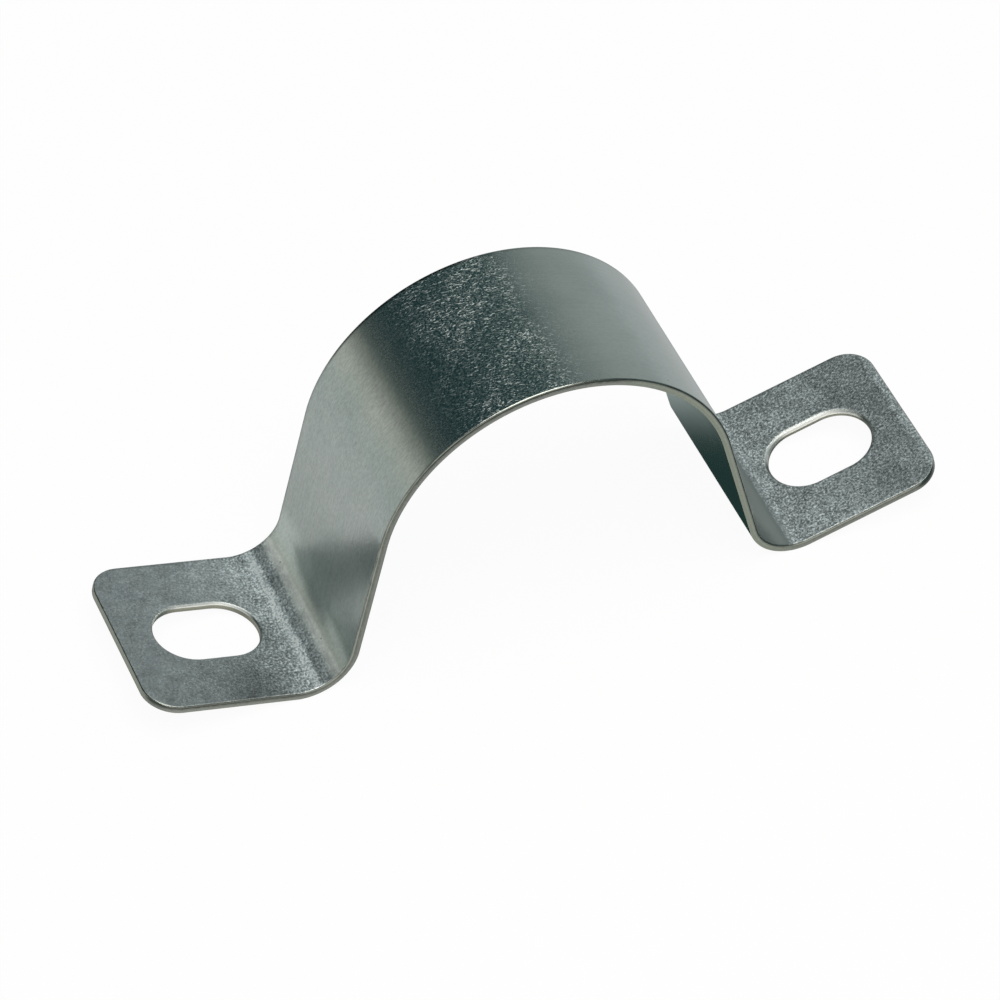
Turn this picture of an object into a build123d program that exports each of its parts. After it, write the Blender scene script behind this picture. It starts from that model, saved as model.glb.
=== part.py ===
from build123d import *
import math
import os

os.makedirs("parts", exist_ok=True)

# The strap is one strip of sheet steel, pierced and then folded into an arch with two feet.
# +X runs from foot to foot, +Y along the conduit and +Z away from the wall.
# The origin is on the wall, under the middle of the arch.
# The feet rise towards their toes, so the strap stands on the undersides of its two foot bends.

# Sheet and strip, in millimetres
sheet_thickness = 0.8
strip_width = 20.0
edge_roll_radius = 0.2

# Folded form, in millimetres and degrees
# The seat is the underside of the arch. The bend radius is on the bend's upper face, its inside.
seat_radius = 17.9
arch_half_angle = 76.3
leg_length = 13.4
bend_radius = 4.7
foot_rise_angle = 14.6
foot_length = 15.0

# Outline of a foot and its slot, in millimetres
toe_corner_radius = 3.3
slot_width = 7.4
slot_length = 10.9
slot_from_toe = 9.3

# From the leg to the foot, the bend turns back through the arch's angle and past the wall.
bend_angle = arch_half_angle + foot_rise_angle
underside_bend_radius = bend_radius + sheet_thickness

# Height of the arch's centre that sets the underside of the bend on the wall
arch_turn = math.radians(arch_half_angle)
arch_end_rise = seat_radius * math.cos(arch_turn)
leg_drop = leg_length * math.sin(arch_turn)
bend_drop = underside_bend_radius * (1 - math.cos(arch_turn))
seat_height = leg_drop + bend_drop - arch_end_rise

with BuildPart() as strap:
    # Half of the folded section, from the crown to the toe
    with BuildSketch(Plane.XZ):
        with BuildLine():
            arch = CenterArc((0, seat_height), seat_radius, 90, -arch_half_angle)
            leg = PolarLine(arch @ 1, leg_length, direction=arch % 1)
            bend = JernArc(leg @ 1, leg % 1, underside_bend_radius, bend_angle)
            foot = PolarLine(bend @ 1, foot_length, direction=bend % 1)
            offset(amount=sheet_thickness, side=Side.LEFT)
        make_face()
    extrude(amount=strip_width / 2, both=True)

    # The underside of the foot, with its origin at the middle of the toe
    toe_point = Vector((foot @ 1).X, 0, (foot @ 1).Y)
    bend_point = Vector((foot @ 0).X, 0, (foot @ 0).Y)
    toewards = (toe_point - bend_point).normalized()
    foot_plane = Plane(toe_point, x_dir=toewards, z_dir=toewards.cross(Vector(0, 1, 0)))
    along_foot = Axis(foot_plane.origin, foot_plane.x_dir)
    through_foot = Axis(foot_plane.origin, foot_plane.z_dir)

    fillet(strap.edges().filter_by(through_foot), toe_corner_radius)

    # The slot is cut from well above the foot to well below, since it ends beside the bend.
    with BuildSketch(foot_plane):
        with Locations((-slot_from_toe, 0)):
            SlotOverall(slot_length, slot_width)
    extrude(amount=underside_bend_radius, both=True, mode=Mode.SUBTRACT)

    # Shearing and piercing leave the upper edges rolled over, all round the strip and the slot.
    # The first group of edges is the seam between the foot and the bend, which stays smooth.
    foot_top = strap.faces().filter_by(through_foot).sort_by(through_foot)[-1]
    rim_groups = foot_top.edges().group_by(along_foot)[1:]
    fillet([edge for group in rim_groups for edge in group], edge_roll_radius)

    mirror(about=Plane.YZ)

strap.part.label = "strap"
export_step(strap.part, "parts/strap.step")
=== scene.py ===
import logging
import math
from dataclasses import dataclass, field
from enum import Enum, IntEnum
from typing import Any, ClassVar, Sequence

import bmesh
import bpy
from mathutils import Matrix, Vector


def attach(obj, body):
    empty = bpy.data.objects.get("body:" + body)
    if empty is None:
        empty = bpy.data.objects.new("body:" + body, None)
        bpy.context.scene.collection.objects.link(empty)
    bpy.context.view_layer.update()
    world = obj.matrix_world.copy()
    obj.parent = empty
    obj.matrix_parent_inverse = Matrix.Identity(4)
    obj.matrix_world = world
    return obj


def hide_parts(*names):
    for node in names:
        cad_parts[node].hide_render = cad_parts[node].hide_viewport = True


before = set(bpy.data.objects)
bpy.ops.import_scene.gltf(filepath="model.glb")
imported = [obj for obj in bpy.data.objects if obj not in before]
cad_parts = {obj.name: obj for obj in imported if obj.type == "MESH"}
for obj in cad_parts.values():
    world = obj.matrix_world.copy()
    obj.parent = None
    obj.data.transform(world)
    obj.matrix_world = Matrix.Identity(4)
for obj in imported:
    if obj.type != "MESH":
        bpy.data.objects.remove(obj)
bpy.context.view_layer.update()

METRES_PER_MM = 0.001
BLANK_PLACE = "blank_place"

# How near two points of the mesh count as one, in millimetres, on its outlines and at its cuts
OUTLINE_TOLERANCE = 1e-4
CUT_TOLERANCE = 1e-5

# Numbers of the sockets of Blender's Mix node, which has a pair of inputs for each kind of value
MIX_SHARE = 0
MIX_VALUES = (2, 3)
MIX_COLOURS = (6, 7)
MIXED_VALUE = 0
MIXED_COLOUR = 2

# What the node sheets take. A grain or a span may hold other nodes' outputs as well as numbers.
Colour = tuple[float, float, float]
Grain = tuple[Any, Any, Any]
Span = tuple[Any, Any]
Values = dict[str, float]
Stops = tuple[tuple[float, float, float], ...]
Socket = bpy.types.NodeSocket
BMesh = bmesh.types.BMesh
BMEdge = bmesh.types.BMEdge

WHOLE: Span = (0.0, 1.0)
WHITE: Colour = (1.0, 1.0, 1.0)

log = logging.getLogger("conduit_strap")


class Finish(IntEnum):
    """The three surfaces of the plated strip, as material slots of the piece."""

    UPPER_FACE = 0
    CUT_EDGE = 1
    UNDERSIDE = 2


class End(Enum):
    """The side of the crown that a foot lies on."""

    LEFT = -1
    RIGHT = 1


@dataclass(frozen=True)
class Stretch:
    """One length of the folded section, along the underside of the sheet.

    Attributes:
        length: Length along the underside, in millimetres.
        turn: How far the strip turns towards the wall over that length, in degrees.
    """

    length: float
    turn: float = 0.0

    def after(self, point: Vector, heading: float, distance: float) -> tuple[Vector, float]:
        """Walks along the stretch.

        Args:
            point: Start of the stretch, as X and Z in millimetres.
            heading: Slope towards the wall at the start, in radians.
            distance: How far to walk, in millimetres.

        Returns:
            The point reached and the slope there.
        """
        if self.turn == 0.0:
            return point + Vector((math.cos(heading), -math.sin(heading))) * distance, heading
        bend_rate = math.radians(self.turn) / self.length
        end = heading + bend_rate * distance
        across = (math.sin(end) - math.sin(heading)) / bend_rate
        down = (math.cos(end) - math.cos(heading)) / bend_rate
        return point + Vector((across, down)), end


@dataclass(frozen=True)
class FoldedSection:
    """The fold of the strip, from the crown of the arch to a toe, in millimetres and degrees."""

    sheet_thickness: float = 0.8
    seat_radius: float = 17.9
    arch_half_angle: float = 76.3
    leg_length: float = 13.4
    bend_radius: float = 4.7
    foot_rise_angle: float = 14.6
    foot_length: float = 15.0

    @property
    def underside_bend_radius(self) -> float:
        """Radius of the bend on its outer face, the one towards the wall."""
        return self.bend_radius + self.sheet_thickness

    @property
    def stretches(self) -> tuple[Stretch, ...]:
        """The parts of the section, in the order that the strip runs.

        Returns:
            The arch, the leg, the bend and the foot.
        """
        arch_turn = self.arch_half_angle
        bend_turn = arch_turn + self.foot_rise_angle
        return (
            Stretch(self.seat_radius * math.radians(arch_turn), arch_turn),
            Stretch(self.leg_length),
            Stretch(self.underside_bend_radius * math.radians(bend_turn), -bend_turn),
            Stretch(self.foot_length),
        )

    @property
    def half_length(self) -> float:
        """Distance from the crown to the toe, along the underside."""
        return sum(stretch.length for stretch in self.stretches)

    @property
    def crown(self) -> Vector:
        """The start of the section, which is the underside of the crown.

        Returns:
            Its X and Z where the bends stand on the wall, at a Z of 0.
        """
        arch_turn = math.radians(self.arch_half_angle)
        arch_drop = self.seat_radius * (1 - math.cos(arch_turn))
        leg_drop = self.leg_length * math.sin(arch_turn)
        bend_drop = self.underside_bend_radius * (1 - math.cos(arch_turn))
        return Vector((0.0, arch_drop + leg_drop + bend_drop))

    def fold(self, flat: Vector) -> Vector:
        """Folds one point of the flat blank.

        Args:
            flat: Distance from the crown, place across the strip and height in the sheet.

        Returns:
            The point's place on the folded strap, in millimetres.
        """
        left_over = abs(flat.x)
        point, heading = self.crown, 0.0
        for stretch in self.stretches:
            walked = min(left_over, stretch.length)
            point, heading = stretch.after(point, heading, walked)
            left_over -= walked
        point = point + Vector((math.sin(heading), math.cos(heading))) * flat.z
        return Vector((math.copysign(point.x, flat.x), flat.y, point.y))


@dataclass(frozen=True)
class Rim:
    """One closed line round an outline, a little inside it and at one height in the sheet.

    Attributes:
        inset: Distance inside the outline, in millimetres.
        height: Height above the underside, in millimetres.
        finish: Finish of the faces between this line and the one before it.
    """

    inset: float
    height: float
    finish: Finish


@dataclass(frozen=True)
class RoundedOutline:
    """A rectangle with round corners on the flat blank, in millimetres.

    Attributes:
        centre: Distance of its middle from the crown.
        length: Size along the strip.
        width: Size across the strip.
        corner_radius: Radius of its four corners.
        corner_steps: Straight steps in each corner.
    """

    centre: float
    length: float
    width: float
    corner_radius: float
    corner_steps: int

    def draw(self, mesh: BMesh, grow: float, height: float) -> list[BMEdge]:
        """Draws the outline as a closed line of edges.

        Args:
            mesh: The mesh that takes the line.
            grow: How much larger than the outline the line lies, all round.
            height: Height of the line above the underside.

        Returns:
            The edges of the line.
        """
        corners = bmesh.ops.create_grid(mesh, x_segments=1, y_segments=1, size=0.5)["verts"]
        size = (self.length + 2 * grow, self.width + 2 * grow, 1.0)
        bmesh.ops.scale(mesh, vec=size, verts=corners)
        bmesh.ops.translate(mesh, vec=(self.centre, 0.0, height), verts=corners)
        rounded = bmesh.ops.bevel(
            mesh,
            geom=corners,
            affect="VERTICES",
            offset=self.corner_radius + grow,
            offset_type="OFFSET",
            segments=self.corner_steps,
            profile=0.5,
            material=-1,
            clamp_overlap=False,
        )
        faces = {face for vert in rounded["verts"] for face in vert.link_faces}
        panel = max(faces, key=lambda face: face.calc_area())
        bmesh.ops.remove_doubles(mesh, verts=list(panel.verts), dist=OUTLINE_TOLERANCE)
        panel = next(face for vert in rounded["verts"] if vert.is_valid for face in vert.link_faces)
        edges = list(panel.edges)
        bmesh.ops.delete(mesh, geom=[panel], context="FACES_ONLY")
        return edges


@dataclass(frozen=True)
class EdgeForm:
    """The form that shearing leaves on the edges of the sheet, in millimetres.

    Attributes:
        roll_radius: Radius of the rolled upper edge.
        roll_steps: Straight steps in that roll.
        tear_height: Height at which the smooth cut ends and the tear begins.
        tear_depth: How far the torn part lies back.
        lower_radius: Small radius of the lower edge.
        lower_steps: Straight steps in the lower edge.
        margin: Width of the narrow faces that keep the flats flat beside the rims.
    """

    roll_radius: float = 0.2
    roll_steps: int = 6
    tear_height: float = 0.34
    tear_depth: float = 0.015
    lower_radius: float = 0.06
    lower_steps: int = 3
    margin: float = 0.06

    def rims(self, thickness: float) -> list[Rim]:
        """Lists the lines of the edge, from the upper face to the underside.

        Args:
            thickness: Thickness of the sheet.

        Returns:
            The lines in order, each with the finish of the faces that lead to it.
        """
        rims = [Rim(self.roll_radius + self.margin, thickness, Finish.UPPER_FACE)]
        for step in range(self.roll_steps + 1):
            turn = math.radians(90 * step / self.roll_steps)
            inset = self.roll_radius * (1 - math.sin(turn))
            height = thickness - self.roll_radius * (1 - math.cos(turn))
            rims.append(Rim(inset, height, Finish.UPPER_FACE))
        rims.append(Rim(0.0, self.tear_height + self.margin, Finish.CUT_EDGE))
        rims.append(Rim(self.tear_depth, self.tear_height - self.margin, Finish.CUT_EDGE))
        for step in range(self.lower_steps + 1):
            turn = math.radians(90 * step / self.lower_steps)
            inset = self.tear_depth + self.lower_radius * (1 - math.cos(turn))
            height = self.lower_radius * (1 - math.sin(turn))
            rims.append(Rim(inset, height, Finish.CUT_EDGE))
        rims.append(Rim(self.tear_depth + self.lower_radius + self.margin, 0.0, Finish.UNDERSIDE))
        return rims


def place_mesh(name: str, mesh: BMesh) -> bpy.types.Object:
    """Puts a mesh into the scene.

    Args:
        name: Name of the object and its data.
        mesh: The mesh, which is used up.

    Returns:
        The new object.
    """
    data = bpy.data.meshes.new(name)
    mesh.to_mesh(data)
    mesh.free()
    placed = bpy.data.objects.new(name, data)
    bpy.context.scene.collection.objects.link(placed)
    return placed


class NodeSheet:
    """Short calls that add, set and join the nodes of one node tree.

    A value is a number, a colour or another node's output. A span is where a smooth step starts and
    ends. A grain is a size along, across and through the strip, in millimetres.
    """

    def __init__(self, tree: bpy.types.NodeTree) -> None:
        """Takes the tree of a material, the world or a group."""
        self.tree = tree

    def feed(self, socket: Socket, value: Any) -> None:
        """Joins an output to an input, or sets the input's own value.

        Args:
            socket: The input.
            value: The output to join, or a plain value. A colour comes without its alpha.
        """
        if isinstance(value, Socket):
            self.tree.links.new(value, socket)
        elif socket.type == "RGBA":
            socket.default_value = (*value, 1.0)
        else:
            socket.default_value = value

    def add(self, kind: str, values: dict[Any, Any], **settings: Any) -> Any:
        """Adds a node.

        Args:
            kind: Blender's name for the kind of node.
            values: What each input gets, by name or number.
            **settings: Settings of the node itself.

        Returns:
            The new node's outputs.
        """
        node = self.tree.nodes.new(kind)
        for name, setting in settings.items():
            setattr(node, name, setting)
        for name, value in values.items():
            self.feed(node.inputs[name], value)
        return node.outputs

    def math(self, operation: str, first: Any, second: Any = 0.0, clamp: bool = False) -> Socket:
        """Adds a sum of two values, by Blender's name for it."""
        return self.add("ShaderNodeMath", {0: first, 1: second}, operation=operation, use_clamp=clamp)[0]

    def times(self, first: Any, second: Any) -> Socket:
        """Multiplies two values."""
        return self.math("MULTIPLY", first, second)

    def plus(self, first: Any, second: Any, clamp: bool = False) -> Socket:
        """Adds two values, and may keep the result from 0 to 1."""
        return self.math("ADD", first, second, clamp)

    def minus(self, first: Any, second: Any) -> Socket:
        """Takes the second value from the first."""
        return self.math("SUBTRACT", first, second)

    def ease(self, value: Any, span: Span, start: Any = 0.0, end: Any = 1.0) -> Socket:
        """Steps smoothly over a span, from one result to another."""
        values = {"Value": value, "From Min": span[0], "From Max": span[1], "To Min": start, "To Max": end}
        return self.add("ShaderNodeMapRange", values, interpolation_type="SMOOTHSTEP")["Result"]

    def band(self, value: Any, rise: Span, fall: Span) -> Socket:
        """Rises smoothly from 0 to 1 over one span and falls back over another."""
        return self.times(self.ease(value, rise), self.ease(value, fall, 1.0, 0.0))

    def mix(self, share: Any, first: Any, second: Any, blend: str = "MIX") -> Socket:
        """Mixes two colours, with the given share of the second."""
        values = {MIX_SHARE: share, MIX_COLOURS[0]: first, MIX_COLOURS[1]: second}
        return self.add("ShaderNodeMix", values, data_type="RGBA", blend_type=blend)[MIXED_COLOUR]

    def tint(self, colour: Any, tint: Any, share: Any = 1.0) -> Socket:
        """Multiplies a colour by another, as far as the share says."""
        return self.mix(share, colour, tint, blend="MULTIPLY")

    def mix_value(self, share: Any, first: Any, second: Any) -> Socket:
        """Mixes two plain values, with the given share of the second."""
        values = {MIX_SHARE: share, MIX_VALUES[0]: first, MIX_VALUES[1]: second}
        return self.add("ShaderNodeMix", values, data_type="FLOAT")[MIXED_VALUE]

    def parts(self, place: Any) -> Any:
        """Splits a place into its three distances."""
        return self.add("ShaderNodeSeparateXYZ", {0: place})

    def channels(self, colour: Any) -> Any:
        """Splits a colour into its three channels."""
        return self.add("ShaderNodeSeparateColor", {0: colour})

    def stretch(self, place: Any, grain: Grain) -> Socket:
        """Divides a place by a grain."""
        sizes = self.add("ShaderNodeCombineXYZ", dict(enumerate(grain)))[0]
        return self.add("ShaderNodeVectorMath", {0: place, 1: sizes}, operation="DIVIDE")[0]

    def noise(self, place: Any, grain: Grain, detail: float = 2.0, roughness: float = 0.5) -> Socket:
        """Adds a noise of the given grain, with 0.5 as its mean."""
        values = {"Scale": 1.0, "Detail": detail, "Roughness": roughness}
        return self.add("ShaderNodeTexNoise", {"Vector": self.stretch(place, grain), **values})[0]

    def ramp(self, value: Any, stops: Sequence[tuple[float, Colour]]) -> Socket:
        """Adds a smooth course of colours.

        Args:
            value: The value that the course runs along.
            stops: Values in rising order, each with its colour.

        Returns:
            The socket with the colour.
        """
        first, last = stops[0][0], stops[-1][0]
        share = self.add("ShaderNodeMapRange", {"Value": value, "From Min": first, "From Max": last})
        node = self.tree.nodes.new("ShaderNodeValToRGB")
        self.feed(node.inputs[0], share["Result"])
        ramp = node.color_ramp
        ramp.interpolation = "EASE"
        while len(ramp.elements) < len(stops):
            ramp.elements.new(0.5)
        for element, (place, colour) in zip(ramp.elements, stops):
            element.position = (place - first) / (last - first)
            element.color = (*colour, 1.0)
        return node.outputs[0]

    def course(self, value: Any, stops: Stops) -> Any:
        """Adds a smooth course of two values, given beside the distance of each stop."""
        return self.channels(self.ramp(value, [(stop[0], (*stop[1:], 0.0)) for stop in stops]))


class ShaderGroup:
    """A shader effect with named inputs and outputs, built once and placed in several materials."""

    name = ""
    inputs: dict[str, float] = {}
    outputs: tuple[str, ...] = ()

    def __init__(self) -> None:
        """Builds the group's tree with its sockets."""
        self.tree = bpy.data.node_groups.new(self.name, "ShaderNodeTree")
        self.add_socket("Place", "INPUT", "Vector")
        for name, start in self.inputs.items():
            self.add_socket(name, "INPUT", "Float").default_value = start
        for name in self.outputs:
            self.add_socket(name, "OUTPUT", "Float")
        sheet = NodeSheet(self.tree)
        given = self.tree.nodes.new("NodeGroupOutput").inputs
        for name, socket in self.build(sheet, sheet.add("NodeGroupInput", {})).items():
            sheet.feed(given[name], socket)

    def add_socket(self, name: str, side: str, kind: str) -> Any:
        """Adds one socket to the group, on its input or output side."""
        return self.tree.interface.new_socket(name=name, in_out=side, socket_type=f"NodeSocket{kind}")

    def build(self, sheet: NodeSheet, taken: Any) -> dict[str, Socket]:
        """Builds the nodes from the inputs, and gives the socket for each output."""
        raise NotImplementedError


class MottleGroup(ShaderGroup):
    """The mottle of crystalline zinc: a fine grain with a small share of wide soft patches."""

    name = "zinc_mottle"
    inputs = {"Grain": 0.3, "Patches": 3.0}
    outputs = ("Tone", "Height")
    detail = 3.0
    roughness = 0.72
    patch_share = 0.11
    tone_span = (0.36, 0.78)

    def build(self, sheet: NodeSheet, taken: Any) -> dict[str, Socket]:
        """Mixes the two noises. The tone leans to the dark, so that its specks are bright.

        Args:
            sheet: The group's sheet.
            taken: The group's inputs, by name.

        Returns:
            The socket for each output, by name.
        """
        fine = sheet.noise(taken["Place"], (taken["Grain"],) * 3, self.detail, self.roughness)
        wide = sheet.noise(taken["Place"], (taken["Patches"],) * 3, detail=1.0)
        tone = sheet.mix_value(self.patch_share, fine, wide)
        return {"Tone": sheet.ease(tone, self.tone_span), "Height": fine}


class RollingMarksGroup(ShaderGroup):
    """Dashes and faint lines that rolling and rubbing leave along the strip."""

    name = "rolling_marks"
    inputs = {"Length": 0.5, "Width": 0.1, "Slant": 0.0, "Threshold": 0.66}
    outputs = ("Mask", "Height")
    softness = 0.06

    def build(self, sheet: NodeSheet, taken: Any) -> dict[str, Socket]:
        """Stretches a noise along the strip, slants it and keeps its peaks.

        Args:
            sheet: The group's sheet.
            taken: The group's inputs, by name.

        Returns:
            The socket for each output, by name.
        """
        along, across, height = sheet.parts(taken["Place"])
        shifted = sheet.plus(across, sheet.times(along, taken["Slant"]))
        slanted = sheet.add("ShaderNodeCombineXYZ", {0: along, 1: shifted, 2: height})[0]
        peaks = sheet.noise(slanted, (taken["Length"], taken["Width"], taken["Width"]), detail=1.0)
        lowest = taken["Threshold"]
        return {"Mask": sheet.ease(peaks, (lowest, sheet.plus(lowest, self.softness))), "Height": peaks}


class PitsGroup(ShaderGroup):
    """Tiny dark pits, scattered thinly over the plating."""

    name = "plating_pits"
    inputs = {"Spacing": 1.0, "Radius": 0.1, "Share": 0.1}
    outputs = ("Mask",)
    core = 0.4

    def build(self, sheet: NodeSheet, taken: Any) -> dict[str, Socket]:
        """Puts a round spot into a few cells of a cell pattern.

        Args:
            sheet: The group's sheet.
            taken: The group's inputs, by name.

        Returns:
            The socket for each output, by name.
        """
        spacing, radius = taken["Spacing"], taken["Radius"]
        cell_place = sheet.stretch(taken["Place"], (spacing,) * 3)
        cells = sheet.add("ShaderNodeTexVoronoi", {"Vector": cell_place, "Scale": 1.0}, feature="F1")
        distance = sheet.times(cells["Distance"], spacing)
        spot = sheet.ease(distance, (sheet.times(radius, self.core), radius), 1.0, 0.0)
        chosen = sheet.math("LESS_THAN", sheet.channels(cells["Color"])[0], taken["Share"])
        return {"Mask": sheet.times(spot, chosen)}


class SlotRimGroup(ShaderGroup):
    """Tells the rims of the slots from the outer rims."""

    name = "slot_rims"
    inputs = {"From": 45.0, "To": 59.0, "Half Width": 5.0}
    outputs = ("Mask",)

    def build(self, sheet: NodeSheet, taken: Any) -> dict[str, Socket]:
        """Keeps a rectangle round each slot.

        Args:
            sheet: The group's sheet.
            taken: The group's inputs, by name.

        Returns:
            The socket for each output, by name.
        """
        along, across = (sheet.math("ABSOLUTE", part) for part in list(sheet.parts(taken["Place"]))[:2])
        past = sheet.math("GREATER_THAN", along, taken["From"])
        before = sheet.math("LESS_THAN", along, taken["To"])
        within = sheet.math("LESS_THAN", across, taken["Half Width"])
        return {"Mask": sheet.times(sheet.times(past, before), within)}


class RimCourseGroup(ShaderGroup):
    """Where along the strip, from toe to toe, the rims get a painted shade line and stretches of painted
    light.
    """

    name = "rim_course"
    outputs = ("Line", "Lightness")
    # Each stop gives a distance from the crown, the strength of the painted shade line and the share of
    # painted light.
    stops = (
        (-61.0, 0.25, 1.0), (-60.5, 0.90, 0.0), (-45.0, 0.80, 0.0), (-42.0, 0.40, 0.1),
        (-22.0, 0.40, 0.1), (-12.0, 1.00, 0.0), (5.0, 1.00, 0.0), (9.0, 0.25, 0.8),
        (16.0, 0.20, 1.0), (40.0, 0.30, 0.9), (46.0, 0.25, 0.3), (61.0, 0.25, 0.2),
    )

    def build(self, sheet: NodeSheet, taken: Any) -> dict[str, Socket]:
        """Reads the course at the distance from the crown."""
        course = sheet.course(sheet.parts(taken["Place"])[0], self.stops)
        return {"Line": course[0], "Lightness": course[1]}


class FinishKit:
    """The shader groups that the finishes share, each built once."""

    def __init__(self) -> None:
        """Builds the groups."""
        self.mottle, self.marks, self.pits = MottleGroup(), RollingMarksGroup(), PitsGroup()
        self.slots, self.rims = SlotRimGroup(), RimCourseGroup()


class FinishSheet(NodeSheet):
    """The node sheet of a finish, with the place on the flat blank that its patterns follow.

    Lengths are in millimetres on the blank, and colours are linear. The place has its distance along
    the strip, negative on the left of the crown, its distance across, negative in front, and its
    height above the underside.
    """

    def __init__(self, tree: bpy.types.NodeTree, kit: FinishKit) -> None:
        """Reads the place from the piece's attribute.

        Args:
            tree: Node tree of the material.
            kit: The shared shader groups.
        """
        super().__init__(tree)
        self.kit = kit
        self.spot = self.add("ShaderNodeAttribute", {}, attribute_name=BLANK_PLACE)["Vector"]
        self.along, self.across, self.height = self.parts(self.spot)
        self.from_crown = self.math("ABSOLUTE", self.along)

    def place(self, group: ShaderGroup, values: Values | None = None) -> Any:
        """Places a shared group with its own values, and gives its outputs by name."""
        return self.add("ShaderNodeGroup", {"Place": self.spot, **(values or {})}, node_tree=group.tree)

    def grains(self, grain: Grain, detail: float = 2.0, roughness: float = 0.5) -> Socket:
        """Adds a noise that follows the blank."""
        return self.noise(self.spot, grain, detail, roughness)

    def wave(self, grain: Grain, detail: float = 2.0, roughness: float = 0.5) -> Socket:
        """Adds a noise that follows the blank, with 0 as its mean."""
        return self.minus(self.grains(grain, detail, roughness), 0.5)


@dataclass(frozen=True)
class Look:
    """What one zone of a finish gives the shader.

    Attributes:
        colour: Socket or linear colour.
        roughness: Socket or value.
        height: Socket or value, in millimetres.
    """

    colour: Any
    roughness: Any
    height: Any = 0.0

    def blend(self, sheet: NodeSheet, share: Any, other: "Look") -> "Look":
        """Mixes this look with another.

        Args:
            sheet: The material's sheet.
            share: Share of the other look.
            other: The other look.

        Returns:
            The mixed look.
        """
        return Look(
            sheet.mix(share, self.colour, other.colour),
            sheet.mix_value(share, self.roughness, other.roughness),
            sheet.mix_value(share, self.height, other.height),
        )


class MetalFinish:
    """A metal whose pattern is laid out on the flat blank."""

    name = ""

    def look(self, sheet: FinishSheet) -> Look:
        """Builds the look of the finish."""
        raise NotImplementedError

    def make(self, kit: FinishKit) -> bpy.types.Material:
        """Builds the material.

        Args:
            kit: The shared shader groups.

        Returns:
            The finished material.
        """
        material = bpy.data.materials.new(self.name)
        material.use_nodes = True
        sheet = FinishSheet(material.node_tree, kit)
        look = self.look(sheet)
        relief = {"Strength": 1.0, "Distance": METRES_PER_MM, "Height": look.height}
        normal = sheet.add("ShaderNodeBump", relief)[0]
        dress = {"Metallic": 1.0, "Base Color": look.colour, "Roughness": look.roughness, "Normal": normal}
        for name, value in dress.items():
            sheet.feed(material.node_tree.nodes["Principled BSDF"].inputs[name], value)
        return material


@dataclass(frozen=True)
class CrownScuffs:
    """Fine scuffs in slanting dashes about the crown, over a frosted grain."""

    centre: float = -3.5
    scuff_fade: Span = (2.55, 8.5)
    frost_fade: Span = (8.075, 9.775)
    cloud_grain: Grain = (5.0, 6.0, 5.0)
    cloud_span: Span = (0.30, 0.70)
    thinnest_cloud: float = 0.50
    frost_span: Span = (0.40, 0.66)
    least_frost: float = 0.42
    frost_roughening: float = 0.66
    frost_lightening: float = 0.13
    long_dashes: ClassVar[Values] = {"Length": 0.52, "Width": 0.12, "Slant": 0.30, "Threshold": 0.64}
    short_dashes: ClassVar[Values] = {"Length": 0.32, "Width": 0.125, "Slant": -0.25, "Threshold": 0.64}
    frost_marks: ClassVar[Values] = {"Length": 0.20, "Width": 0.13, "Slant": 0.2}

    def masks(self, sheet: FinishSheet) -> tuple[Socket, Socket]:
        """Builds the two masks of the scuffs.

        Args:
            sheet: The material's sheet.

        Returns:
            How far the zinc is roughened and how far it is lightened.
        """
        cloud = sheet.grains(self.cloud_grain)
        cover = sheet.ease(cloud, self.cloud_span, self.thinnest_cloud, 1.0)
        off_centre = sheet.math("ABSOLUTE", sheet.minus(sheet.along, self.centre))
        strength = sheet.times(cover, sheet.ease(off_centre, self.scuff_fade, 1.0, 0.0))
        long_mask = sheet.place(sheet.kit.marks, self.long_dashes)["Mask"]
        short_mask = sheet.place(sheet.kit.marks, self.short_dashes)["Mask"]
        dashes = sheet.times(sheet.math("MAXIMUM", long_mask, short_mask), strength)
        frosted = sheet.ease(off_centre, self.frost_fade, 1.0, 0.0)
        amount = sheet.times(frosted, sheet.ease(strength, WHOLE, self.least_frost, 1.0))
        grain = sheet.place(sheet.kit.marks, self.frost_marks)["Height"]
        frost = sheet.times(sheet.ease(grain, self.frost_span), amount)
        roughened = sheet.plus(dashes, sheet.times(frost, self.frost_roughening), clamp=True)
        lightened = sheet.plus(dashes, sheet.times(frost, self.frost_lightening), clamp=True)
        return roughened, lightened


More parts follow.
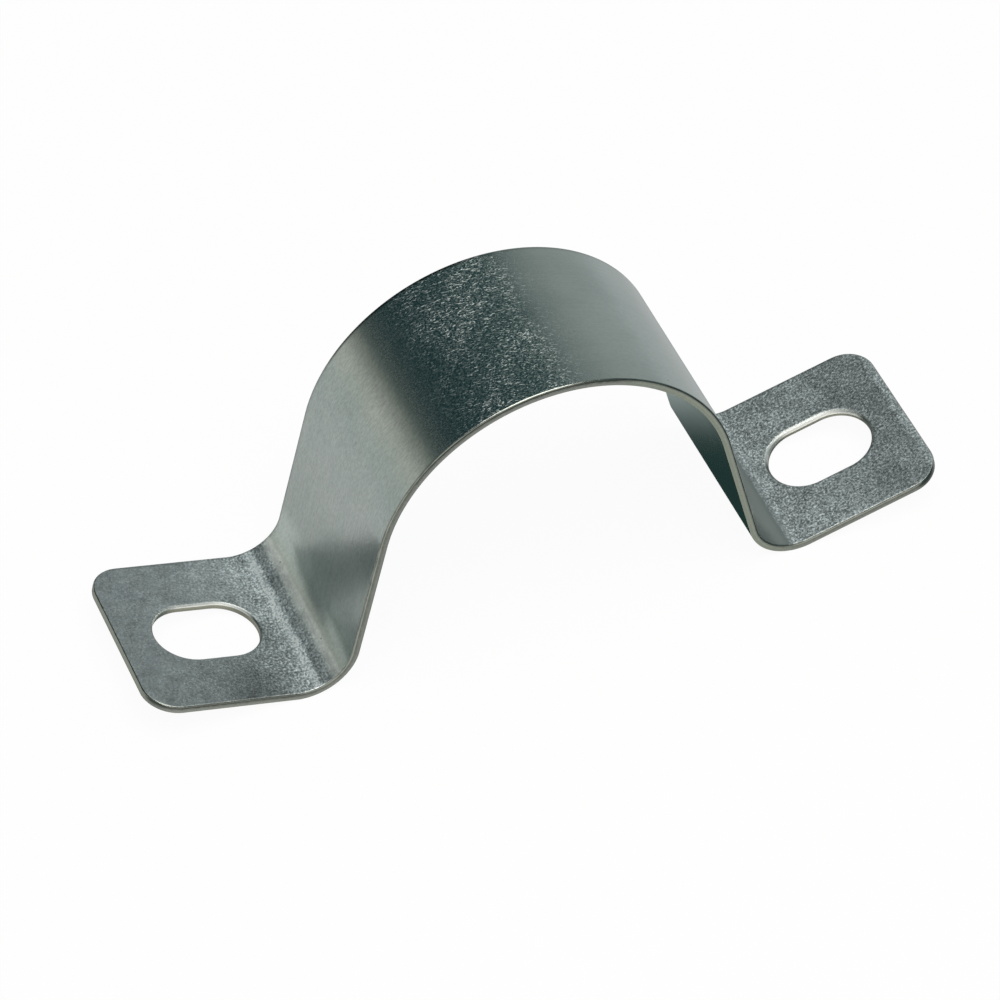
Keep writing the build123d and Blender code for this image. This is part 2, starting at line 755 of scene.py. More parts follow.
@dataclass(frozen=True)
class SmoothZinc:
    """Smooth plating on the arch and the legs, with faint streaks along the strip."""

    colour: Colour = (0.330, 0.372, 0.355)
    roughness: float = 0.20
    scuffs: CrownScuffs = CrownScuffs()
    scuff_colour: Colour = (0.97, 1.0, 0.98)
    scuffed_roughness: float = 0.62
    patch_grain: Grain = (6.0, 5.0, 5.0)
    patch_span: Span = (0.3, 0.7)
    patch_tints: tuple[Colour, Colour] = ((0.95, 0.96, 0.96), (1.04, 1.03, 1.03))
    speckle_grain: Grain = (0.42, 0.20, 0.3)
    speckle_tints: tuple[Colour, Colour] = ((0.58, 0.58, 0.58), (1.42, 1.42, 1.42))
    speckle_fade: Span = (-16.0, -9.0)
    speckle_on_right: float = 0.33
    # Painted reflection: the left leg is lightened beyond these distances from the crown, less across its
    # middle band.
    low_leg_reflection: Span = (-37.0, -34.5)
    low_leg_reflection_tint: Colour = (1.28, 1.28, 1.26)
    midway_rise: Span = (-5.0, -3.0)
    midway_fall: Span = (0.0, 2.0)
    midway_share: float = 0.35
    streak_colour: Colour = (0.46, 0.48, 0.46)
    streak_shares: Span = (0.08, 0.22)
    streaks: ClassVar[Values] = {"Length": 9.0, "Width": 0.22, "Threshold": 0.5}
    leg_span: Span = (20.0, 28.0)
    leg_roughness: Span = (0.26, 0.34)
    leg_end_span: Span = (26.0, 33.0)
    # Painted shade: the smooth zinc darkens towards the right bend.
    right_bend_shade: Span = (36.0, 38.5)
    bend_shade_colour: Colour = (0.285, 0.315, 0.300)
    dimple_grain: Grain = (0.7, 0.4, 0.4)
    dimple_depth: float = 0.006

    def plain_colour(self, sheet: FinishSheet) -> Socket:
        """Builds the colour below the streaks: soft patches, fine speckle and a painted reflection that
        lightens the lower left leg.

        Args:
            sheet: The material's sheet.

        Returns:
            The socket with the colour.
        """
        patches = sheet.ease(sheet.grains(self.patch_grain), self.patch_span)
        toned = sheet.tint(self.colour, sheet.mix(patches, *self.patch_tints))
        midway = sheet.band(sheet.across, self.midway_rise, self.midway_fall)
        low_leg_reflection = sheet.ease(sheet.along, self.low_leg_reflection, 1.0, 0.0)
        # Painted reflection on the lower left leg, weaker across its middle band.
        painted_light = sheet.times(low_leg_reflection, sheet.ease(midway, WHOLE, 1.0, self.midway_share))
        speckle = sheet.grains(self.speckle_grain, detail=3.0, roughness=0.65)
        share = sheet.ease(sheet.along, self.speckle_fade, 1.0, self.speckle_on_right)
        reflection_lit = sheet.tint(toned, self.low_leg_reflection_tint, painted_light)
        return sheet.tint(reflection_lit, sheet.mix(speckle, *self.speckle_tints), share)

    def look(self, sheet: FinishSheet) -> Look:
        """Builds the look of the arch and the legs.

        Args:
            sheet: The material's sheet.

        Returns:
            The look.
        """
        on_leg = sheet.ease(sheet.from_crown, self.leg_span)
        streaks = sheet.place(sheet.kit.marks, self.streaks)["Mask"]
        share = sheet.times(streaks, sheet.ease(on_leg, WHOLE, *self.streak_shares))
        streaked = sheet.mix(share, self.plain_colour(sheet), self.streak_colour)
        roughened, lightened = self.scuffs.masks(sheet)
        scuffed = sheet.mix(lightened, streaked, self.scuff_colour)
        # Painted shade on the right bend.
        colour = sheet.mix(sheet.ease(sheet.along, self.right_bend_shade), scuffed, self.bend_shade_colour)
        leg_roughness = sheet.ease(sheet.from_crown, self.leg_end_span, *self.leg_roughness)
        plain_roughness = sheet.mix_value(on_leg, self.roughness, leg_roughness)
        roughness = sheet.mix_value(roughened, plain_roughness, self.scuffed_roughness)
        dimples = sheet.grains(self.dimple_grain, detail=1.0)
        return Look(colour, roughness, sheet.times(dimples, self.dimple_depth))


@dataclass(frozen=True)
class PressedZinc:
    """Pressed plating on the feet: a burnished bend line and a mottle that calms towards the toe.

    A pair has its value for the left foot first. Each stop gives a distance from the crown, and the
    mean reflectance and the strength of the mottle there.
    """

    tint: Colour = (0.93, 1.01, 1.025)
    bend_tint: Colour = (0.94, 0.97, 0.94)
    bend_tint_end: Span = (41.0, 42.0)
    roughness: Span = (0.50, 0.68)
    starts: Span = (40.1, 43.4)
    edge_span: Span = (-0.25, 0.25)
    waver_grain: Grain = (2.5, 1.2, 1.0)
    waver: float = 0.35
    mottle_mean: float = 0.27
    mottle_depth: float = 0.026
    leather_span: Span = (45.0, 52.0)
    leather_by_bend: float = 0.85
    leather_by_toe: Span = (0.5, 0.75)
    clump_grain: Grain = (1.5, 1.5, 1.5)
    clump_shares: Span = (0.8, 0.5)
    shade_rise: Span = (46.3, 49.3)
    shade_fall: Span = (50.5, 54.0)
    shade_front: Span = (-9.0, -3.5)
    shade: float = 0.30
    fine_mottle: ClassVar[Values] = {"Grain": 0.18, "Patches": 1.6}
    leather_mottle: ClassVar[Values] = {"Grain": 0.25, "Patches": 3.0}
    left_stops: Stops = (
        (40.0, 0.82, 0.29), (41.1, 0.80, 0.40), (41.8, 0.47, 1.61), (42.5, 0.41, 2.07),
        (43.0, 0.84, 1.72), (43.4, 1.00, 1.49), (43.9, 0.72, 1.80), (44.4, 0.58, 2.18),
        (46.2, 0.58, 1.90), (47.4, 0.51, 1.72), (50.0, 0.46, 1.38), (54.0, 0.41, 1.03),
        (61.0, 0.39, 0.92),
    )
    right_stops: Stops = (
        (43.2, 0.36, 0.33), (43.7, 0.42, 1.42), (44.3, 0.55, 2.07), (45.0, 0.48, 2.18),
        (48.0, 0.47, 2.18), (53.0, 0.43, 2.07), (57.0, 0.37, 1.97), (59.9, 0.36, 1.97),
        (60.3, 0.54, 1.75), (61.0, 0.56, 1.75),
    )

    def look(self, sheet: FinishSheet, right_side: Socket) -> tuple[Look, Socket]:
        """Builds the look of the feet.

        Args:
            sheet: The material's sheet.
            right_side: 0 on the left of the crown and 1 on the right.

        Returns:
            The look and the mask of the feet.
        """
        waver = sheet.wave(self.waver_grain)
        from_crown = sheet.plus(sheet.from_crown, sheet.times(waver, self.waver))
        start = sheet.mix_value(right_side, *self.starts)
        pressed = sheet.ease(sheet.minus(from_crown, start), self.edge_span)

        left, right = (sheet.course(from_crown, stops) for stops in (self.left_stops, self.right_stops))
        tone = sheet.mix_value(right_side, left[0], right[0])
        contrast = sheet.mix_value(right_side, left[1], right[1])
        fine = sheet.place(sheet.kit.mottle, self.fine_mottle)
        leather = sheet.place(sheet.kit.mottle, self.leather_mottle)
        by_toe = sheet.mix_value(right_side, *self.leather_by_toe)
        leathery = sheet.ease(from_crown, self.leather_span, self.leather_by_bend, by_toe)
        mottle = sheet.mix_value(leathery, fine["Tone"], leather["Tone"])
        swing = sheet.times(sheet.minus(mottle, self.mottle_mean), contrast)
        clumps = sheet.wave(self.clump_grain, detail=4.0, roughness=0.65)
        clump_share = sheet.mix_value(right_side, *self.clump_shares)
        variation = sheet.plus(swing, sheet.times(clumps, clump_share))

        past_bend = sheet.band(from_crown, self.shade_rise, self.shade_fall)
        by_front = sheet.ease(sheet.across, self.shade_front, 1.0, 0.0)
        shaded = sheet.times(sheet.times(past_bend, by_front), sheet.minus(1.0, right_side))
        shaded_tone = sheet.times(tone, sheet.minus(1.0, sheet.times(shaded, self.shade)))
        grey = sheet.times(shaded_tone, sheet.plus(variation, 1.0))
        tint = sheet.mix(sheet.ease(from_crown, self.bend_tint_end), self.bend_tint, self.tint)
        colour = sheet.tint(sheet.add("ShaderNodeCombineColor", {0: grey, 1: grey, 2: grey})[0], tint)
        roughness = sheet.ease(mottle, WHOLE, *self.roughness)
        depth = sheet.times(contrast, self.mottle_depth)
        height = sheet.times(sheet.mix_value(leathery, fine["Height"], leather["Height"]), depth)
        return Look(colour, roughness, height), pressed


@dataclass(frozen=True)
class RolledRim:
    """Plating on the rolled upper rims, with painted shade low on the outer rims and in front in the
    slots, and a painted highlight on the far side of the slots.

    Depths are measured down from the upper face.
    """

    colour: Colour = (0.38, 0.39, 0.34)
    roughness: float = 0.22
    depths: Span = (0.003, 0.05)
    # Painted shade: a dark band low on the outer rims, as strong as the rim course asks.
    shadow_colour: Colour = (0.05, 0.055, 0.045)
    shadow_depths: Span = (0.08, 0.14)
    # Random breaks, where the rims take the painted shade colour as well.
    break_grain: Grain = (1.1, 1.1, 1.1)
    break_span: Span = (0.35, 0.60)
    wear: float = 0.45
    # Painted highlight: the slot rims are near white on their far side and dark in front.
    slot_colour: Colour = (0.96, 0.96, 0.92)
    slot_front_shade_colour: Colour = (0.12, 0.14, 0.13)
    slot_highlight_side: Span = (0.8, 2.2)
    slot_roughness: float = 0.42
    slot_depths: Span = (0.003, 0.12)

    def look(self, sheet: FinishSheet, depth: Socket) -> tuple[Look, Socket]:
        """Builds the look of the rims.

        Args:
            sheet: The material's sheet.
            depth: Depth below the upper face.

        Returns:
            The look and the mask of the rims.
        """
        # Painted shade low on the outer rims, with random breaks.
        line = sheet.times(sheet.ease(depth, self.shadow_depths), sheet.place(sheet.kit.rims)["Line"])
        worn = sheet.ease(sheet.grains(self.break_grain, detail=3.0), self.break_span, self.wear, 0.0)
        outer_colour = sheet.mix(sheet.math("MAXIMUM", line, worn), self.colour, self.shadow_colour)
        # Painted highlight on the far side of the slot rims, painted shade in front.
        highlight_side = sheet.ease(sheet.across, self.slot_highlight_side)
        slot_colour = sheet.mix(highlight_side, self.slot_front_shade_colour, self.slot_colour)
        slots = sheet.place(sheet.kit.slots)["Mask"]
        slot_look = Look(slot_colour, self.slot_roughness)
        rims = Look(outer_colour, self.roughness).blend(sheet, slots, slot_look)
        masks = (sheet.ease(depth, span) for span in (self.depths, self.slot_depths))
        return rims, sheet.mix_value(slots, *masks)


@dataclass(frozen=True)
class ZincUpperFace(MetalFinish):
    """Zinc plating on the upper face: smooth on the arch and legs, pressed on the feet."""

    sheet_thickness: float
    smooth: SmoothZinc = SmoothZinc()
    pressed: PressedZinc = PressedZinc()
    rim: RolledRim = RolledRim()
    right_span: Span = (-1.0, 1.0)
    pit_colour: Colour = (0.05, 0.06, 0.06)
    pit_strength: float = 0.75
    # Painted shade: a dark line along the far edge, strongest on the arch.
    far_edge_shade_colour: Colour = (0.02, 0.03, 0.025)
    far_edge_span: Span = (9.45, 9.8)
    far_edge_rise: Span = (-20.0, -15.0)
    far_edge_fall: Span = (-4.0, 2.0)
    far_edge_shares: Span = (0.3, 0.9)
    pits: ClassVar[Values] = {"Spacing": 1.5, "Radius": 0.13, "Share": 0.10}
    name: ClassVar[str] = "zinc_upper_face"

    def look(self, sheet: FinishSheet) -> Look:
        """Joins the smooth zinc, the pressed zinc, the pits and the rims, and paints shade along the far
        edge, strongest on the arch.

        Args:
            sheet: The material's sheet.

        Returns:
            The whole look.
        """
        right_side = sheet.ease(sheet.along, self.right_span)
        pressed_look, pressed = self.pressed.look(sheet, right_side)
        flats = self.smooth.look(sheet).blend(sheet, pressed, pressed_look)
        pits = sheet.times(sheet.place(sheet.kit.pits, self.pits)["Mask"], self.pit_strength)
        pitted = Look(sheet.mix(pits, flats.colour, self.pit_colour), flats.roughness, flats.height)
        depth = sheet.minus(self.sheet_thickness, sheet.height)
        rim_look, rolled = self.rim.look(sheet, depth)
        whole = pitted.blend(sheet, rolled, rim_look)
        # Painted shade along the far edge, strongest on the arch.
        on_arch = sheet.band(sheet.along, self.far_edge_rise, self.far_edge_fall)
        strength = sheet.ease(on_arch, WHOLE, *self.far_edge_shares)
        at_far_edge = sheet.times(sheet.ease(sheet.across, self.far_edge_span), strength)
        colour = sheet.mix(at_far_edge, whole.colour, self.far_edge_shade_colour)
        return Look(colour, whole.roughness, whole.height)


@dataclass(frozen=True)
class ZincCutEdge(MetalFinish):
    """Zinc plating on the sheared edges: a painted shade line, a dull cut, a lighter torn band below and
    stretches of painted light.
    """

    tear_height: float
    # Painted shade: the dark line along the edges.
    shade_line_colour: Colour = (0.055, 0.065, 0.06)
    cut_colour: Colour = (0.17, 0.185, 0.165)
    torn_colour: Colour = (0.33, 0.345, 0.315)
    # Painted light, in the rim course's lighter stretches.
    painted_edge_light: Colour = (0.33, 0.36, 0.30)
    slot_colour: Colour = (0.31, 0.315, 0.26)
    worn_colour: Colour = (0.5, 0.51, 0.47)
    wear: float = 0.34
    grime_colour: Colour = (0.03, 0.035, 0.03)
    grime: float = 0.12
    ragged_grain: Grain = (0.5, 0.5, 0.3)
    ragged_height: float = 0.2
    tear_softness: float = 0.05
    shade_line_heights: Span = (0.49, 0.55)
    roughness: Span = (0.57, 0.42)
    relief: float = 0.012
    mottle: ClassVar[Values] = {"Grain": 0.30, "Patches": 1.5}
    name: ClassVar[str] = "zinc_cut_edge"

    def look(self, sheet: FinishSheet) -> Look:
        """Stacks the torn band, the cut, the painted light and the painted shade line, and gives the slots
        a colour of their own.

        Args:
            sheet: The material's sheet.

        Returns:
            The look of the edges.
        """
        ragged = sheet.wave(self.ragged_grain, detail=3.0)
        height = sheet.plus(sheet.height, sheet.times(ragged, self.ragged_height))
        tear = (self.tear_height - self.tear_softness, self.tear_height + self.tear_softness)
        cut = sheet.ease(height, tear)
        mottle = sheet.place(sheet.kit.mottle, self.mottle)
        course = sheet.place(sheet.kit.rims)
        # Painted light where the rim course asks for it.
        torn, smooth_cut = (
            sheet.mix(course["Lightness"], colour, self.painted_edge_light)
            for colour in (self.torn_colour, self.cut_colour)
        )
        sheared = sheet.mix(cut, torn, smooth_cut)
        worn = sheet.mix(sheet.times(mottle["Tone"], self.wear), sheared, self.worn_colour)
        grimy = sheet.mix(self.grime, worn, self.grime_colour)
        # Painted shade: the dark line, as strong as the rim course says.
        line = sheet.times(sheet.ease(height, self.shade_line_heights), course["Line"])
        lined = sheet.mix(line, grimy, self.shade_line_colour)
        colour = sheet.mix(sheet.place(sheet.kit.slots)["Mask"], lined, self.slot_colour)
        roughness = sheet.ease(cut, WHOLE, *self.roughness)
        return Look(colour, roughness, sheet.times(mottle["Height"], self.relief))


@dataclass(frozen=True)
class ZincUnderside(MetalFinish):
    """Zinc plating on the underside: smooth, with painted light and more roughness inside the right side
    of the arch.
    """

    colour: Colour = (0.27, 0.325, 0.31)
    patch_colour: Colour = (0.40, 0.44, 0.43)
    patch_share: float = 0.2
    streak_colour: Colour = (0.20, 0.22, 0.22)
    streak_share: float = 0.12
    roughness: Span = (0.14, 0.18)
    # Painted light: a lighter, rougher zone inside the right side of the arch.
    inner_painted_light: Colour = (0.67, 0.77, 0.75)
    inner_light_roughness: float = 0.60
    inner_light_rise: Span = (12.0, 22.0)
    inner_light_fall: Span = (19.0, 39.5)
    relief: float = 0.003
    mottle: ClassVar[Values] = {"Grain": 1.2, "Patches": 5.0}
    streaks: ClassVar[Values] = {"Length": 8.0, "Width": 0.25, "Threshold": 0.5}
    name: ClassVar[str] = "zinc_underside"

    def look(self, sheet: FinishSheet) -> Look:
        """Joins soft patches, faint streaks and the painted light inside the right side of the arch, which
        slants towards the front.

        Args:
            sheet: The material's sheet.

        Returns:
            The look of the underside.
        """
        mottle = sheet.place(sheet.kit.mottle, self.mottle)
        patched = sheet.mix(sheet.times(mottle["Tone"], self.patch_share), self.colour, self.patch_colour)
        streaks = sheet.times(sheet.place(sheet.kit.marks, self.streaks)["Mask"], self.streak_share)
        streaked = sheet.mix(streaks, patched, self.streak_colour)
        # Painted light inside the right side of the arch.
        fading = sheet.ease(sheet.minus(sheet.along, sheet.across), self.inner_light_fall, 1.0, 0.0)
        painted_light = sheet.times(sheet.ease(sheet.along, self.inner_light_rise), fading)
        plain = sheet.ease(mottle["Tone"], WHOLE, *self.roughness)
        roughness = sheet.mix_value(painted_light, plain, self.inner_light_roughness)
        relief = sheet.times(mottle["Height"], self.relief)
        return Look(sheet.mix(painted_light, streaked, self.inner_painted_light), roughness, relief)


@dataclass
class ConduitStrap:
    """The strap: one pierced strip of plated sheet steel, folded into an arch with two feet.

    Lengths are in millimetres. The strip is built flat, with its crown at the middle, and then folded.
    The fold steps are how many narrow strips the arch, the leg and the bend are cut into.
    """

    section: FoldedSection = field(default_factory=FoldedSection)
    edge: EdgeForm = field(default_factory=EdgeForm)
    left_slot_edge: EdgeForm = field(default_factory=lambda: EdgeForm(roll_radius=0.28, roll_steps=8))
    right_slot_edge: EdgeForm = field(default_factory=lambda: EdgeForm(roll_radius=0.46, roll_steps=10))
    strip_width: float = 20.0
    toe_corner_radius: float = 3.3
    slot_width: float = 7.4
    slot_length: float = 10.9
    slot_from_toe: float = 9.3
    toe_corner_steps: int = 14
    slot_corner_steps: int = 16
    fold_steps: tuple[int, int, int] = (110, 6, 70)

    @property
    def strip_outline(self) -> RoundedOutline:
        """Outline of the flat strip, from toe to toe."""
        length = 2 * self.section.half_length
        return RoundedOutline(0.0, length, self.strip_width, self.toe_corner_radius, self.toe_corner_steps)

    def slot_outline(self, end: End) -> RoundedOutline:
        """Outline of the slot in one foot."""
        size = (self.slot_length, self.slot_width, self.slot_width / 2, self.slot_corner_steps)
        return RoundedOutline(end.value * (self.section.half_length - self.slot_from_toe), *size)

    @property
    def panel_start(self) -> float:
        """Start of the face with the slot in it, clear of the slot's widest edge.

        Returns:
            Distance from the crown.
        """
        slot_start = self.section.half_length - self.slot_from_toe - self.slot_length / 2
        slot_edges = (self.left_slot_edge, self.right_slot_edge)
        widest = max(edge.roll_radius + 2 * edge.margin for edge in slot_edges)
        return slot_start - widest

    def wrap_edges(
        self, mesh: BMesh, outline: RoundedOutline, edge: EdgeForm, growth: int
    ) -> tuple[list[BMEdge], list[BMEdge]]:
        """Builds the edge of the sheet all round an outline.

        The lines are joined one above the other and then moved to their own heights, so that no two
        lie in one plane while they are joined.

        Args:
            mesh: The mesh that takes the faces.
            outline: The strip's outline or a slot's.
            edge: Form of that edge.
            growth: -1 where the sheet lies inside the outline, 1 where it lies outside.

        Returns:
            The line of edges on the upper face and the one on the underside.
        """
        rims = edge.rims(self.section.sheet_thickness)
        lines = [outline.draw(mesh, growth * rim.inset, -step) for step, rim in enumerate(rims)]
        for rim, upper, lower in zip(rims[1:], lines, lines[1:]):
            made = bmesh.ops.bridge_loops(mesh, edges=upper + lower)
            for face in made["faces"]:
                face.material_index = rim.finish
        for step, (rim, line) in enumerate(zip(rims, lines)):
            verts = list({vert for edge_part in line for vert in edge_part.verts})
            bmesh.ops.translate(mesh, vec=(0.0, 0.0, rim.height + step), verts=verts)
        return lines[0], lines[-1]

    def cut_across(self, mesh: BMesh, distance: float) -> None:
        """Cuts the flat blank across, on both sides of the crown.

        Args:
            mesh: The flat blank.
            distance: Distance of the cuts from the crown.
        """
        for side in {distance, -distance}:
            bmesh.ops.bisect_plane(
                mesh,
                geom=[*mesh.verts, *mesh.edges, *mesh.faces],
                plane_co=(side, 0.0, 0.0),
                plane_no=(1.0, 0.0, 0.0),
                dist=CUT_TOLERANCE,
            )

    def fold_lines(self) -> list[float]:
        """Lists where the blank is cut across so that its curves fold smoothly.

        Returns:
            Distances from the crown.
        """
        lines, start = [0.0], 0.0
        for stretch, steps in zip(self.section.stretches, self.fold_steps):
            lines += [start + stretch.length * step / steps for step in range(1, steps + 1)]
            start += stretch.length
        return [line for line in lines if line < self.panel_start - self.edge.margin]

    def pierced_panel(self, mesh: BMesh, slot_line: list[BMEdge], end: End, height: float) -> None:
        """Replaces a foot's plain face by one with the slot in it.

        Args:
            mesh: The flat blank.
            slot_line: The line of edges round the slot, at the same height.
            end: The side that the foot lies on.
            height: Height of the face above the underside.
        """
        panels = [
            face
            for face in mesh.faces
            if all(abs(vert.co.z - height) < OUTLINE_TOLERANCE for vert in face.verts)
            and face.calc_center_median().x * end.value > self.panel_start
        ]
        panel = max(panels, key=lambda face: face.calc_area())
        finish = panel.material_index
        outer_line = list(panel.edges)
        bmesh.ops.delete(mesh, geom=[panel], context="FACES_ONLY")
        made = bmesh.ops.triangle_fill(mesh, edges=outer_line + slot_line, use_beauty=True)
        for face in made["geom"]:
            if isinstance(face, bmesh.types.BMFace):
                face.material_index = finish

    def flat_blank(self) -> BMesh:
        """Builds the pierced strip, flat.

        Returns:
            The closed mesh, with X from the crown, Y across and Z from the underside.
        """
        mesh = bmesh.new()
        strip_lines = self.wrap_edges(mesh, self.strip_outline, self.edge, growth=-1)
        slot_edges = {End.LEFT: self.left_slot_edge, End.RIGHT: self.right_slot_edge}
        slot_lines = {
            end: self.wrap_edges(mesh, self.slot_outline(end), edge, growth=1)
            for end, edge in slot_edges.items()
        }
        heights = (self.section.sheet_thickness, 0.0)
        for line, finish in zip(strip_lines, (Finish.UPPER_FACE, Finish.UNDERSIDE)):
            for face in bmesh.ops.edgeloop_fill(mesh, edges=line)["faces"]:
                face.material_index = finish
        self.cut_across(mesh, self.panel_start)
        for end, lines in slot_lines.items():
            for line, height in zip(lines, heights):
                self.pierced_panel(mesh, line, end, height)
        for distance in self.fold_lines():
            self.cut_across(mesh, distance)
        bmesh.ops.remove_doubles(mesh, verts=mesh.verts[:], dist=CUT_TOLERANCE)
        bmesh.ops.recalc_face_normals(mesh, faces=mesh.faces[:])
        return mesh

    def fold(self, mesh: BMesh) -> None:
        """Keeps each point's flat place as an attribute, then folds the blank.

        Args:
            mesh: The flat blank, in millimetres, which becomes the folded strap in metres.
        """
        blank_place = mesh.verts.layers.float_vector.new(BLANK_PLACE)
        for vert in mesh.verts:
            vert[blank_place] = vert.co
            vert.co = self.section.fold(vert.co) * METRES_PER_MM

    def build(self, kit: FinishKit) -> bpy.types.Object:
        """Builds the strap and dresses it.

        Args:
            kit: The shared shader groups.

        Returns:
            The finished piece.
        """
        blank = self.flat_blank()
        self.fold(blank)
        for face in blank.faces:
            face.smooth = True
        piece = place_mesh("folded_strap", blank)
        finishes = {
            Finish.UPPER_FACE: ZincUpperFace(self.section.sheet_thickness),
            Finish.CUT_EDGE: ZincCutEdge(self.edge.tear_height),
            Finish.UNDERSIDE: ZincUnderside(),
        }
        for finish in Finish:
            piece.data.materials.append(finishes[finish].make(kit))
        return piece


@dataclass(frozen=True)
class Studio:
    """A pale floor with soft light: bright screens to both sides and a dark gap between them.

    Each screen gives a direction in degrees, 0 straight up and 90 to the right, and the light from
    there, where 1 is white. The front has one low bright window, with its bounds as parts of 1.
    """

    screens: tuple[tuple[float, Colour], ...] = (
        (-180.0, (0.02, 0.05, 0.045)), (-165.0, (0.03, 0.06, 0.055)),
        (-148.0, (0.80, 0.81, 0.80)), (-120.0, (0.84, 0.85, 0.84)),
        (-98.0, (0.80, 0.83, 0.81)), (-80.0, (0.92, 0.91, 0.84)),
        (-69.5, (0.48, 0.48, 0.44)), (-60.0, (0.07, 0.11, 0.11)),
        (-40.0, (0.02, 0.06, 0.07)), (24.0, (0.04, 0.10, 0.105)),
        (42.0, (0.39, 0.44, 0.43)), (64.0, (0.57, 0.61, 0.60)),
        (88.0, (0.60, 0.64, 0.64)), (100.0, (0.70, 0.74, 0.74)),
        (140.0, (0.62, 0.64, 0.64)), (158.0, (0.16, 0.21, 0.20)),
        (168.0, (0.02, 0.045, 0.04)), (180.0, (0.02, 0.05, 0.045)),
    )
    front_span: Span = (-0.1, 0.35)
    front_colour: Colour = (0.10, 0.14, 0.15)
    window_colour: Colour = (1.05, 1.05, 1.02)
    window_top: Span = (0.1, 0.75)
    window_right: Span = (0.32, 0.50)
    window_left: Span = (-0.75, -0.45)
    left_of_window: float = 0.4
    floor_size: float = 4.0
    floor_colour: Colour = (0.92, 0.92, 0.92)
    floor_shine_through: float = 0.95
    key_direction: tuple[float, float, float] = (0.02, -0.26, 0.96)
    key_distance: float = 0.9
    key_size: float = 0.85
    key_colour: Colour = (1.0, 0.97, 0.92)
    key_power: float = 7.0

    def make_floor(self) -> bpy.types.Object:
        """Makes the pale floor.

        Returns:
            The floor.
        """
        mesh = bmesh.new()
        bmesh.ops.create_grid(mesh, x_segments=1, y_segments=1, size=self.floor_size / 2)
        floor = place_mesh("floor", mesh)
        floor.data.materials.append(self.floor_material())
        floor.visible_glossy = False
        return floor

    def floor_material(self) -> bpy.types.Material:
        """Makes the floor's material: plain and pale, and near white to the camera.

        Returns:
            The finished material.
        """
        material = bpy.data.materials.new("pale_floor")
        material.use_nodes = True
        sheet = NodeSheet(material.node_tree)
        material.node_tree.nodes.remove(material.node_tree.nodes["Principled BSDF"])
        matt = sheet.add("ShaderNodeBsdfDiffuse", {"Color": self.floor_colour})[0]
        white = sheet.add("ShaderNodeEmission", {"Color": WHITE, "Strength": 1.0})[0]
        seen = sheet.add("ShaderNodeLightPath", {})["Is Camera Ray"]
        share = sheet.times(seen, self.floor_shine_through)
        blend = sheet.add("ShaderNodeMixShader", {0: share, 1: matt, 2: white})[0]
        sheet.feed(material.node_tree.nodes["Material Output"].inputs["Surface"], blend)
        return material

    def light_world(self) -> None:
        """Lights the surroundings with soft screens, by direction round the strap."""
        world = bpy.data.worlds.new("studio")
        world.use_nodes = True
        bpy.context.scene.world = world
        sheet = NodeSheet(world.node_tree)
        right, back, up = sheet.parts(sheet.add("ShaderNodeTexCoord", {})["Generated"])
        angle = sheet.math("DEGREES", sheet.math("ARCTAN2", right, up))
        below_top = sheet.ease(up, self.window_top, 1.0, 0.0)
        before_right = sheet.ease(right, self.window_right, 1.0, 0.0)
        past_left = sheet.ease(right, self.window_left, self.left_of_window, 1.0)
        window = sheet.times(below_top, sheet.times(before_right, past_left))
        front = sheet.mix(window, self.front_colour, self.window_colour)
        in_front = sheet.ease(back, self.front_span, 1.0, 0.0)
        light = sheet.mix(in_front, sheet.ramp(angle, self.screens), front)
        sheen = sheet.add("ShaderNodeBackground", {"Color": light, "Strength": 1.0})[0]
        backdrop = sheet.add("ShaderNodeBackground", {"Color": WHITE, "Strength": 1.0})[0]
        seen = sheet.add("ShaderNodeLightPath", {})["Is Camera Ray"]
        blend = sheet.add("ShaderNodeMixShader", {0: seen, 1: sheen, 2: backdrop})[0]
        output = next(node for node in world.node_tree.nodes if node.type == "OUTPUT_WORLD")
        sheet.feed(output.inputs["Surface"], blend)

    def hang_key_lamp(self) -> None:
        """Hangs one large soft lamp above the strap, a little in front of it."""
        data = bpy.data.lights.new("key_lamp", "AREA")
        data.shape = "DISK"
        data.size = self.key_size
        data.energy = self.key_power
        data.color = self.key_colour
        lamp = bpy.data.objects.new("key_lamp", data)
        towards = Vector(self.key_direction).normalized()
        turn = towards.to_track_quat("Z", "Y").to_matrix().to_4x4()
        lamp.matrix_world = Matrix.Translation(towards * self.key_distance) @ turn
        bpy.context.scene.collection.objects.link(lamp)


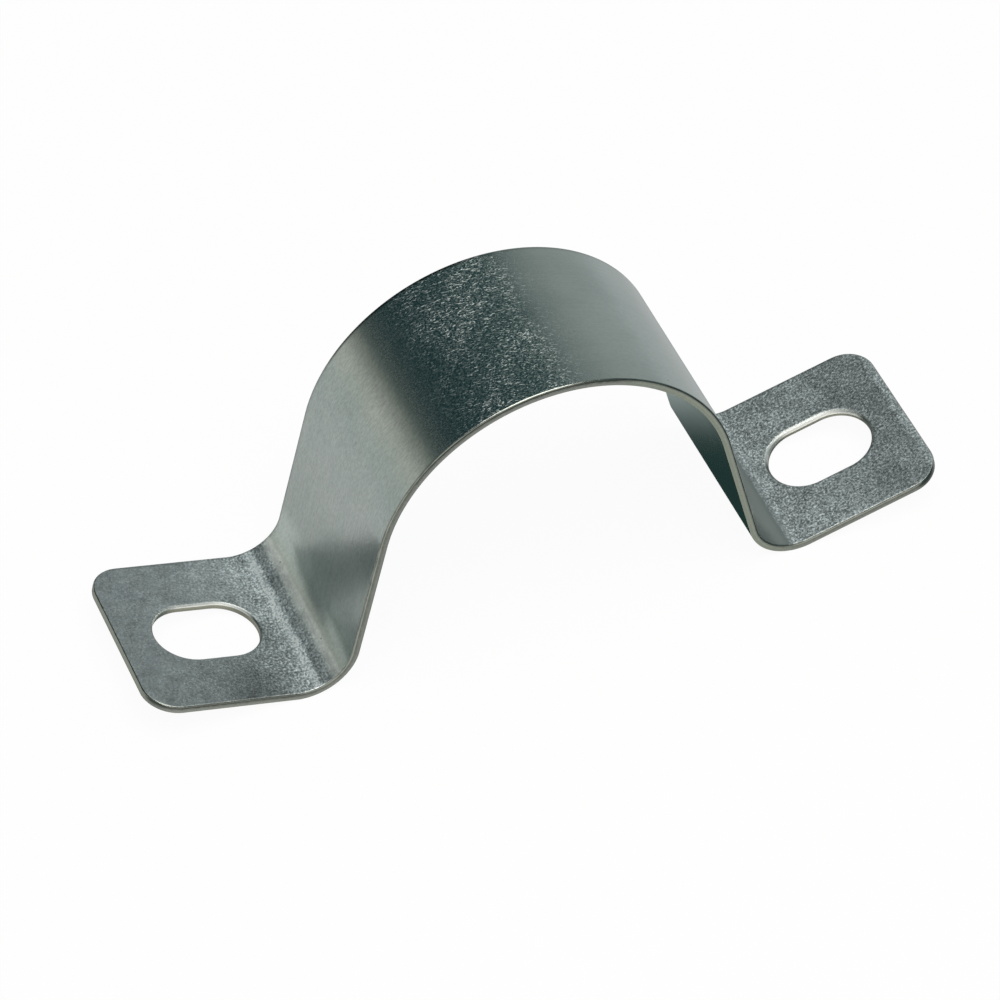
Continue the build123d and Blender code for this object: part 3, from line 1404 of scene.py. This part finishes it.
@dataclass(frozen=True)
class PhotoCamera:
    """The camera at the photograph's viewing angle, in millimetres and degrees.

    Attributes:
        bearing: Direction of view, from +Y towards +X.
        elevation: How far the camera looks down.
        roll: Turn of the picture about its middle.
        aim: The point at the middle of the picture.
        distance: Distance from that point.
        lens: Focal length on the sensor's width.
        sensor: Width of the sensor.
        nearest: How near the camera still sees.
    """

    bearing: float = 21.874
    elevation: float = 45.259
    roll: float = -0.592
    aim: tuple[float, float, float] = (-2.614, -1.821, 10.337)
    distance: float = 503.879
    lens: float = 186.873
    sensor: float = 36.0
    nearest: float = 10.0

    def make(self) -> bpy.types.Object:
        """Makes the camera and gives it to the scene.

        Returns:
            The camera.
        """
        data = bpy.data.cameras.new("photo_camera")
        data.lens = self.lens
        data.sensor_width = self.sensor
        data.clip_start = self.nearest * METRES_PER_MM
        camera = bpy.data.objects.new("photo_camera", data)
        bearing, elevation = math.radians(self.bearing), math.radians(self.elevation)
        forward = Vector((
            math.sin(bearing) * math.cos(elevation),
            math.cos(bearing) * math.cos(elevation),
            -math.sin(elevation),
        ))
        level = Matrix.Rotation(-bearing, 4, "Z") @ Matrix.Rotation(math.pi / 2 - elevation, 4, "X")
        turned = level @ Matrix.Rotation(math.radians(self.roll), 4, "Z")
        place = (Vector(self.aim) - forward * self.distance) * METRES_PER_MM
        camera.matrix_world = Matrix.Translation(place) @ turned
        bpy.context.scene.collection.objects.link(camera)
        bpy.context.scene.camera = camera
        return camera


def main() -> None:
    """Builds the camera, the studio and the strap, and reports each."""
    logging.basicConfig(level=logging.INFO, format="%(name)s: %(message)s")
    scene = bpy.context.scene
    scene.view_settings.view_transform = "Standard"
    camera = PhotoCamera().make()
    place = [round(value, 4) for value in camera.matrix_world.translation]
    log.info("camera %s at %s", camera.name, place)
    studio = Studio()
    studio.light_world()
    studio.hang_key_lamp()
    floor = studio.make_floor()
    log.info("stage %s", floor.name)
    kit = FinishKit()
    strap = ConduitStrap().build(kit)
    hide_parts("strap")
    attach(strap, "root")
    log.info("piece %s with %d faces", strap.name, len(strap.data.polygons))


if __name__ == "__main__":
    main()
